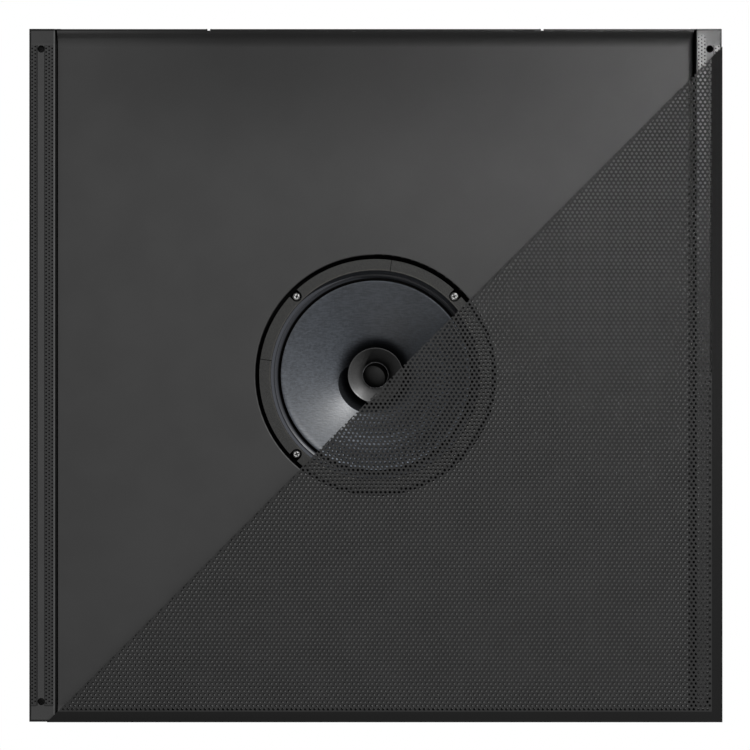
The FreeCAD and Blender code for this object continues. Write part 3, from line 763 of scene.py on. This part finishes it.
def perforated_tree():
    """A flat sheet of brick-shaped cells in staggered rows, each with a round hole where the hole fits."""
    tree = bpy.data.node_groups.new("perforated sheet", "GeometryNodeTree")
    sizes = {"Columns": "Int", "Rows": "Int", "First Row": "Int", "Pitch": "Float", "Row Spacing": "Float",
             "Hole Diameter": "Float", "First Hole": "Vector", "Right Edge": "Float", "Far Edge": "Float",
             "Cut": "Float", "Finish": "Material"}
    for name, kind in sizes.items():
        tree.interface.new_socket(name, in_out="INPUT", socket_type="NodeSocket" + kind)
    tree.interface.new_socket("Sheet", in_out="OUTPUT", socket_type="NodeSocketGeometry")
    entry = tree.nodes.new("NodeGroupInput")
    columns, rows, first_row, pitch, spacing, diameter, first, right, far, cut, finish = (
        Link(tree, entry.outputs[name]) for name in sizes)
    start = Link(tree)
    weld = 0.02 * mm

    index = start.node("GeometryNodeInputIndex")
    column = index.maths("FLOOR", (index + 0.5) / rows)
    row = index - column * rows
    odd = index.maths("MODULO", row + first_row, 2.0)
    x = first.node("ShaderNodeSeparateXYZ", None, {0: first}, 0) + (column + 0.5 * odd) * pitch
    y = first.node("ShaderNodeSeparateXYZ", None, {0: first}, 1) + (row + first_row) * spacing
    spot = start.node("ShaderNodeCombineXYZ", None, {0: x, 1: y})
    points = start.node("GeometryNodePoints", None, {"Count": columns * rows, "Position": spot})

    place = start.node("GeometryNodeInputPosition")
    x = place.node("ShaderNodeSeparateXYZ", None, {0: place}, 0)
    y = place.node("ShaderNodeSeparateXYZ", None, {0: place}, 1)
    fits = (x + 0.5 * diameter < right) * (y + 0.5 * diameter < far)
    near = (x - 0.5 * pitch < right) * (y - 0.5 * spacing < far)
    kept = near * (x + y > cut - 0.5 * (pitch + spacing))

    plain = start.node("GeometryNodeMeshGrid", None, {
        "Size X": pitch, "Size Y": spacing, "Vertices X": 3, "Vertices Y": 2})
    sides = start.node("GeometryNodeInputMeshEdgeNeighbors")
    rim = plain.node("GeometryNodeMeshToCurve", None, {"Mesh": plain, "Selection": sides < 1.5})
    hole = start.node("GeometryNodeCurvePrimitiveCircle", None, {
        "Resolution": hole_sides, "Radius": 0.5 * diameter})
    outline = start.node("GeometryNodeJoinGeometry", None, {"Geometry": [rim, hole]})
    holed = outline.node("GeometryNodeFillCurve", None, {"Curve": outline})
    cells = start.node("GeometryNodeJoinGeometry", None, {"Geometry": [
        start.node("GeometryNodeInstanceOnPoints", None, {
            "Points": points, "Selection": kept * fits, "Instance": holed}),
        start.node("GeometryNodeInstanceOnPoints", None, {
            "Points": points, "Selection": kept * (1 - fits), "Instance": plain})]})
    sheet = cells.node("GeometryNodeRealizeInstances", None, {"Geometry": cells})
    sheet = sheet.node("GeometryNodeMergeByDistance", None, {"Geometry": sheet, "Distance": weld})
    sheet = sheet.node("GeometryNodeSetMaterial", None, {"Geometry": sheet, "Material": finish})
    way_out = tree.nodes.new("NodeGroupOutput")
    tree.links.new(sheet.socket, way_out.inputs["Sheet"])
    return tree


perforated = perforated_tree()


def make_perforated_face():
    """The perforated field of the grille, in bands of rows, cut along the diagonal."""
    last_row = int((field_edge - hole_start[1]) / hole_row) + 1
    reach = hole_columns // 2 * hole_pitch
    bands = zip(band_rows, band_rows[1:] + (last_row + 1,))
    for number, (low, high) in enumerate(bands, start=1):
        mesh = grown(perforated, {
            "Columns": hole_columns, "Rows": high - low, "First Row": low, "Pitch": hole_pitch * mm,
            "Row Spacing": hole_row * mm, "Hole Diameter": hole_diameter * mm,
            "First Hole": ((hole_start[0] - reach) * mm, hole_start[1] * mm, 0.0),
            "Right Edge": field_edge * mm, "Far Edge": field_edge * mm, "Cut": cut_line * mm,
            "Finish": finishes["grille_paint"]})
        bm = bmesh.new()
        bm.from_mesh(mesh)
        trimmed(bm, (field_edge * mm, 0, 0), (1, 0, 0))
        trimmed(bm, (0, field_edge * mm, 0), (0, 1, 0))
        trimmed(bm, (cut_line * mm, 0, 0), (-1, -1, 0))
        facing_down(bm)
        sheet = thickened(meshed(bm), field_sheet * mm)
        piece("perforated_face_" + str(number), sheet, "grille_paint", "tile", "grille", sharp=None)


def make_grille_border():
    """The plain border and its folded lips along the two outer sides, cut along the diagonal at both ends."""
    quarter = [math.radians(90 * step / 6) for step in range(7)]

    def bend(radius):
        return [(grille_bend - radius * math.sin(turn), grille_bend - radius * math.cos(turn))
                for turn in quarter]

    width = grille_half - field_edge
    outline = [(width, 0.0)] + bend(grille_bend) + [(0.0, grille_lip), (grille_sheet, grille_lip)]
    outline += bend(grille_bend - grille_sheet)[::-1] + [(width, grille_sheet)]
    bm = bmesh.new()
    stations = ([], [], [])
    for inset, z in outline:
        side = grille_half - inset
        corners = ((side, cut_line - side), (side, side), (cut_line - side, side))
        for station, (x, y) in zip(stations, corners):
            station.append(bm.verts.new((x * mm, y * mm, z * mm)))
    for first, second in zip(stations, stations[1:]):
        for index in range(len(outline)):
            after = (index + 1) % len(outline)
            bm.faces.new((first[index], second[index], second[after], first[after]))
    bm.faces.new(stations[0])
    bm.faces.new(stations[-1])
    bmesh.ops.recalc_face_normals(bm, faces=bm.faces[:])
    piece("grille_border", meshed(bm), "grille_paint", "tile", "grille", sharp=40.0)


def make_dimpled_strip(node):
    """A strip with three staggered lines of small pits on its face, on a plain backing."""
    low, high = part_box(node)
    low.z = (pan_land - strip_height) * mm
    if node == "grille_pad_right_inner":
        low.y = long_strip * mm
    width = high.x - low.x
    lines = int(width / mm / dimple_row + 0.5)
    length = high.y - low.y
    columns = int(length / (dimple_pitch * mm)) + 2
    middle = (low.x + high.x) / 2
    no_cut = -9.0
    mesh = grown(perforated, {
        "Columns": columns, "Rows": lines, "First Row": 0, "Pitch": dimple_pitch * mm,
        "Row Spacing": dimple_row * mm, "Hole Diameter": dimple_diameter * mm,
        "First Hole": (low.y + dimple_start * mm, middle - (lines - 1) / 2 * dimple_row * mm, 0.0),
        "Right Edge": high.y, "Far Edge": high.x, "Cut": no_cut, "Finish": finishes["grille_pad"]})
    bm = bmesh.new()
    bm.from_mesh(mesh)
    for vert in bm.verts:
        vert.co = (vert.co.y, vert.co.x, low.z)
    trimmed(bm, (high.x, 0, 0), (1, 0, 0))
    trimmed(bm, (low.x, 0, 0), (-1, 0, 0))
    trimmed(bm, (0, high.y, 0), (0, 1, 0))
    trimmed(bm, (0, low.y, 0), (0, -1, 0))
    bm.normal_update()
    facing_down(bm)
    skin = thickened(meshed(bm), dimple_depth * mm)
    bm = bmesh.new()
    bm.from_mesh(skin)
    backing = bmesh.ops.create_cube(bm, size=1.0)["verts"]
    for vert in backing:
        vert.co = (middle + vert.co.x * width, (low.y + high.y) / 2 + vert.co.y * length,
                   (low.z + dimple_depth * mm if vert.co.z < 0 else high.z))
    piece("dimpled_" + node, meshed(bm), "grille_pad", "tile", node, sharp=30.0)


# Edges of the pan

def add_box(bm, low, high):
    """Adds a box between two corners, in millimetres."""
    for vert in bmesh.ops.create_cube(bm, size=1.0)["verts"]:
        vert.co = [(near if share < 0 else far) * mm for share, near, far in zip(vert.co, low, high)]


def make_floor_edge(side):
    """The floor's folded edge along a side groove, up the swept ends, which close the groove."""
    foot_start = pan_half - 14.57
    foot_radius = 13.0
    crest_end = pan_half - 1.57
    crest_radius = 3.9
    proud = 0.02
    rise = []
    for turn in (math.radians(9 * step) for step in range(6)):
        rise.append((foot_start + foot_radius * math.sin(turn),
                     pan_floor - foot_radius * (1 - math.cos(turn))))
    for turn in (math.radians(45 - 15 * step) for step in range(4)):
        rise.append((crest_end - crest_radius * math.sin(turn),
                     pan_land + crest_radius * (1 - math.cos(turn))))
    rise.append((pan_half - 0.05, pan_land))
    front = [(-y, z - proud) for y, z in reversed(rise)] + [(y, z - proud) for y, z in rise]
    groove_floor = pan_floor + 3.95
    wall = floor_edge - fold_sheet
    section = [(floor_edge - floor_fold, 0.0), (floor_edge, 0.0), (floor_edge, None), (wall, None),
               (wall, fold_sheet), (floor_edge - floor_fold, fold_sheet)]
    bm = bmesh.new()
    rows = [[bm.verts.new((side * x * mm, y * mm, (groove_floor if depth is None else z + depth) * mm))
             for y, z in front] for x, depth in section]
    for first, second in zip(rows, rows[1:] + rows[:1]):
        for index in range(len(front) - 1):
            bm.faces.new((first[index], first[index + 1], second[index + 1], second[index]))
    for index in (0, -1):
        bm.faces.new([row[index] for row in rows])
    for way in (-1, 1):
        x0, x1 = sorted((side * (floor_edge + 0.02), side * (lip_edge - 0.02)))
        y0, y1 = sorted((way * (pan_half - 0.9), way * (pan_half - 0.1)))
        add_box(bm, (x0, y0, pan_land + 0.1), (x1, y1, groove_floor))
    bmesh.ops.recalc_face_normals(bm, faces=bm.faces[:])
    piece("floor_edge_right" if side > 0 else "floor_edge_left", meshed(bm), "pan_paint", "tile", sharp=40.0)


def make_notch_sides():
    """Turned-in sides that narrow the four notches in the pan's ends."""
    bm = bmesh.new()
    for end in (-1, 1):
        y0, y1 = sorted((end * (pan_half - notch_depth), end * (pan_half - 0.1)))
        for middle in (-notch_place, notch_place):
            for way in (-1, 1):
                x0, x1 = sorted((middle + way * notch_half, middle + way * notch_reach))
                add_box(bm, (x0, y0, pan_land), (x1, y1, pan_land + 0.9))
    piece("notch_sides", meshed(bm), "pan_paint", "tile", sharp=40.0)


make_notch_sides()
make_floor_edge(-1)
make_floor_edge(1)
make_perforated_face()
make_grille_border()
for strip_name in ("left_inner", "left_outer", "right_inner", "right_outer"):
    make_dimpled_strip("grille_pad_" + strip_name)


# Diaphragm

def make_cone():
    """A cone with a slight bow, a narrow rim for the surround and a straight neck on the former."""
    edge = 81.2
    neck = 11.95
    depth = 30.85
    bow = 2.0
    thickness = 0.65
    line = [(82.65, flange + 0.35), (82.0, flange + 0.3), (edge, flange + 0.5)]
    for share in (0.02, 0.06, 0.12, 0.2, 0.3, 0.4, 0.5, 0.6, 0.7, 0.8, 0.9, 0.98):
        line.append((edge - (edge - neck) * share,
                     flange + 0.65 + depth * share - bow * math.sin(math.pi * share)))
    line += [(neck, flange + 31.6), (neck, flange + 34.9)]
    piece("pressed_cone", lathe(shell(line, thickness), 240), "cone_paper", "diaphragm", "cone", sharp=50.0)


def make_whizzer():
    """A small flared horn with a straight collar on the former."""
    mouth = 24.2
    neck = 11.85
    horn = [(neck + (mouth - neck) * share, flange + 26.5 - 14.0 * share ** 0.72)
            for share in (0.96, 0.8, 0.6, 0.4, 0.22, 0.08, 0.0)]
    line = smooth_line([(mouth, flange + 12.75)] + horn + [(neck, flange + 29.5)], steps=5)
    mesh = lathe(shell(line, thickness=0.5), segments=128)
    piece("flared_whizzer", mesh, "whizzer_paper", "diaphragm", "whizzer_cone", sharp=50.0)


def make_dust_cap():
    """A thin dome that closes the coil's former."""
    radius = 11.05
    height = 6.5
    back = flange + 27.0
    turns = [math.radians(90 * step / 12) for step in range(13)]
    line = [(radius * math.sin(turn), back - height * math.cos(turn)) for turn in turns]
    inner = [(r * 0.955, min(z + 0.45, back)) for r, z in reversed(line)]
    piece("domed_cap", lathe(line + inner, 96), "cap_paper", "diaphragm", "dust_cap", sharp=50.0)


def radial_blend(made, inner, outer):
    """Writes how far each point follows the frame: none at the inner radius, all of it at the outer."""
    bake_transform(made, "diaphragm", "tile", start=(inner * mm, 0, 0), end=(outer * mm, 0, 0))
    weights = made.data.attributes["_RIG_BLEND"].data
    for vert, weight in zip(made.data.vertices, weights):
        share = (math.hypot(vert.co.x, vert.co.y) / mm - inner) / (outer - inner)
        share = min(max(share, 0.0), 1.0)
        weight.value = share * share * (3 - 2 * share)


def make_surround():
    """A rolled edge that hangs back from the frame's rim, with a narrow groove along the cone."""
    rolls = [(91.5, -0.3), (90.6, 0.0), (89.7, 0.25), (89.0, 0.35), (88.6, 0.25), (88.2, 0.08), (87.8, 0.3),
             (87.2, 0.95), (86.2, 1.5), (85.2, 1.6), (84.2, 1.45), (83.4, 1.2), (82.8, 1.0), (82.2, 0.95)]
    line = smooth_line([(r, flange + z) for r, z in rolls], steps=4)
    mesh = lathe(shell(line, thickness=0.4), segments=240)
    made = piece("rolled_surround", mesh, "surround_cloth", None, "surround", sharp=60.0)
    radial_blend(made, inner=83.5, outer=91.3)


def make_spider():
    """A corrugated disc that centres the coil."""
    low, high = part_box("spider")
    outer = high.x / mm
    inner = 11.75
    middle = (low.z + high.z) / 2 / mm
    waves = 4
    wave_height = 1.2
    wave_start = 0.12
    wave_end = 0.92
    points = []
    for step in range(49):
        share = step / 48
        r = outer + (inner - outer) * share
        wave = 0.0
        if wave_start < share < wave_end:
            wave = math.sin(math.tau * waves * (share - wave_start) / (wave_end - wave_start))
        points.append((r, middle + wave_height * wave))
    mesh = lathe(shell(points, thickness=0.45), segments=144)
    made = piece("corrugated_spider", mesh, "spider_cloth", None, "spider", sharp=60.0)
    radial_blend(made, inner=14.0, outer=52.0)


make_cone()
make_whizzer()
make_dust_cap()
make_surround()
make_spider()


# Studio

def lamp(name, place, size, power, target=(0, 0, 0), spread=180.0):
    """A soft square lamp that looks at the tile."""
    light = bpy.data.lights.new(name, "AREA")
    light.size = size
    light.energy = power
    light.spread = math.radians(spread)
    made = bpy.data.objects.new(name, light)
    made.location = place
    made.rotation_euler = (Vector(target) - made.location).to_track_quat("-Z", "Y").to_euler()
    scene.collection.objects.link(made)


def make_studio():
    """White all round for the camera, a pale floor well below, and four lamps."""
    world = bpy.data.worlds.new("studio")
    scene.world = world
    world.use_nodes = True
    tree = world.node_tree
    sky = tree.nodes["Background"]
    sky.inputs["Color"].default_value = (1, 1, 1, 1)
    start = Link(tree)
    seen = start.node("ShaderNodeLightPath", output="Is Camera Ray")
    for ray in ("Is Glossy Ray", "Is Transmission Ray"):
        seen = seen.maths("MAXIMUM", seen, start.node("ShaderNodeLightPath", output=ray))
    level = 0.3 + 0.7 * seen
    tree.links.new(level.socket, sky.inputs["Strength"])

    # The floor is pale to look at, but throws little light back up on the tile's face
    floor = Finish("pale_floor", (0.75, 0.75, 0.75), 0.9, specular=0.1)
    bounce = floor.place.node("ShaderNodeLightPath", output="Is Diffuse Ray")
    floor.set("Base Color", floor.mix(bounce, floor.mottle(0.6, 0.02), floor.shade(0.1)))
    ground_half = 9.0
    ground_height = -2.9
    bm = bmesh.new()
    bmesh.ops.create_grid(bm, x_segments=1, y_segments=1, size=ground_half)
    for vert in bm.verts:
        vert.co.z = ground_height
    ground = bpy.data.objects.new("floor", meshed(bm))
    ground.data.materials.append(floor.material)
    scene.collection.objects.link(ground)

    # The key lamp is as far in front of the face as the camera, so that the spots of light that
    # pass through the holes lie behind other holes all over the grille
    lamp("key_lamp", (2.198, -2.396, -1.811), size=0.07, power=212.0)
    lamp("corner_lamp", (0.69, -0.69, -2.40), size=0.25, power=0.13, target=(0.30, -0.30, 0.0), spread=16.0)
    lamp("fill_lamp", (-0.55, 2.06, -1.49), size=1.6, power=6.7)
    lamp("back_lamp", (-1.2, 1.6, 2.4), size=2.6, power=50.0)


def make_camera():
    lens = bpy.data.cameras.new("camera")
    lens.lens = 100.06
    lens.sensor_width = 36.0
    camera = bpy.data.objects.new("camera", lens)
    camera.location = (-0.00043, -0.00026, -1.811)
    camera.rotation_euler = (math.pi, 0, 0)
    scene.collection.objects.link(camera)
    scene.camera = camera


make_studio()
make_camera()
scene.view_settings.view_transform = "Standard"
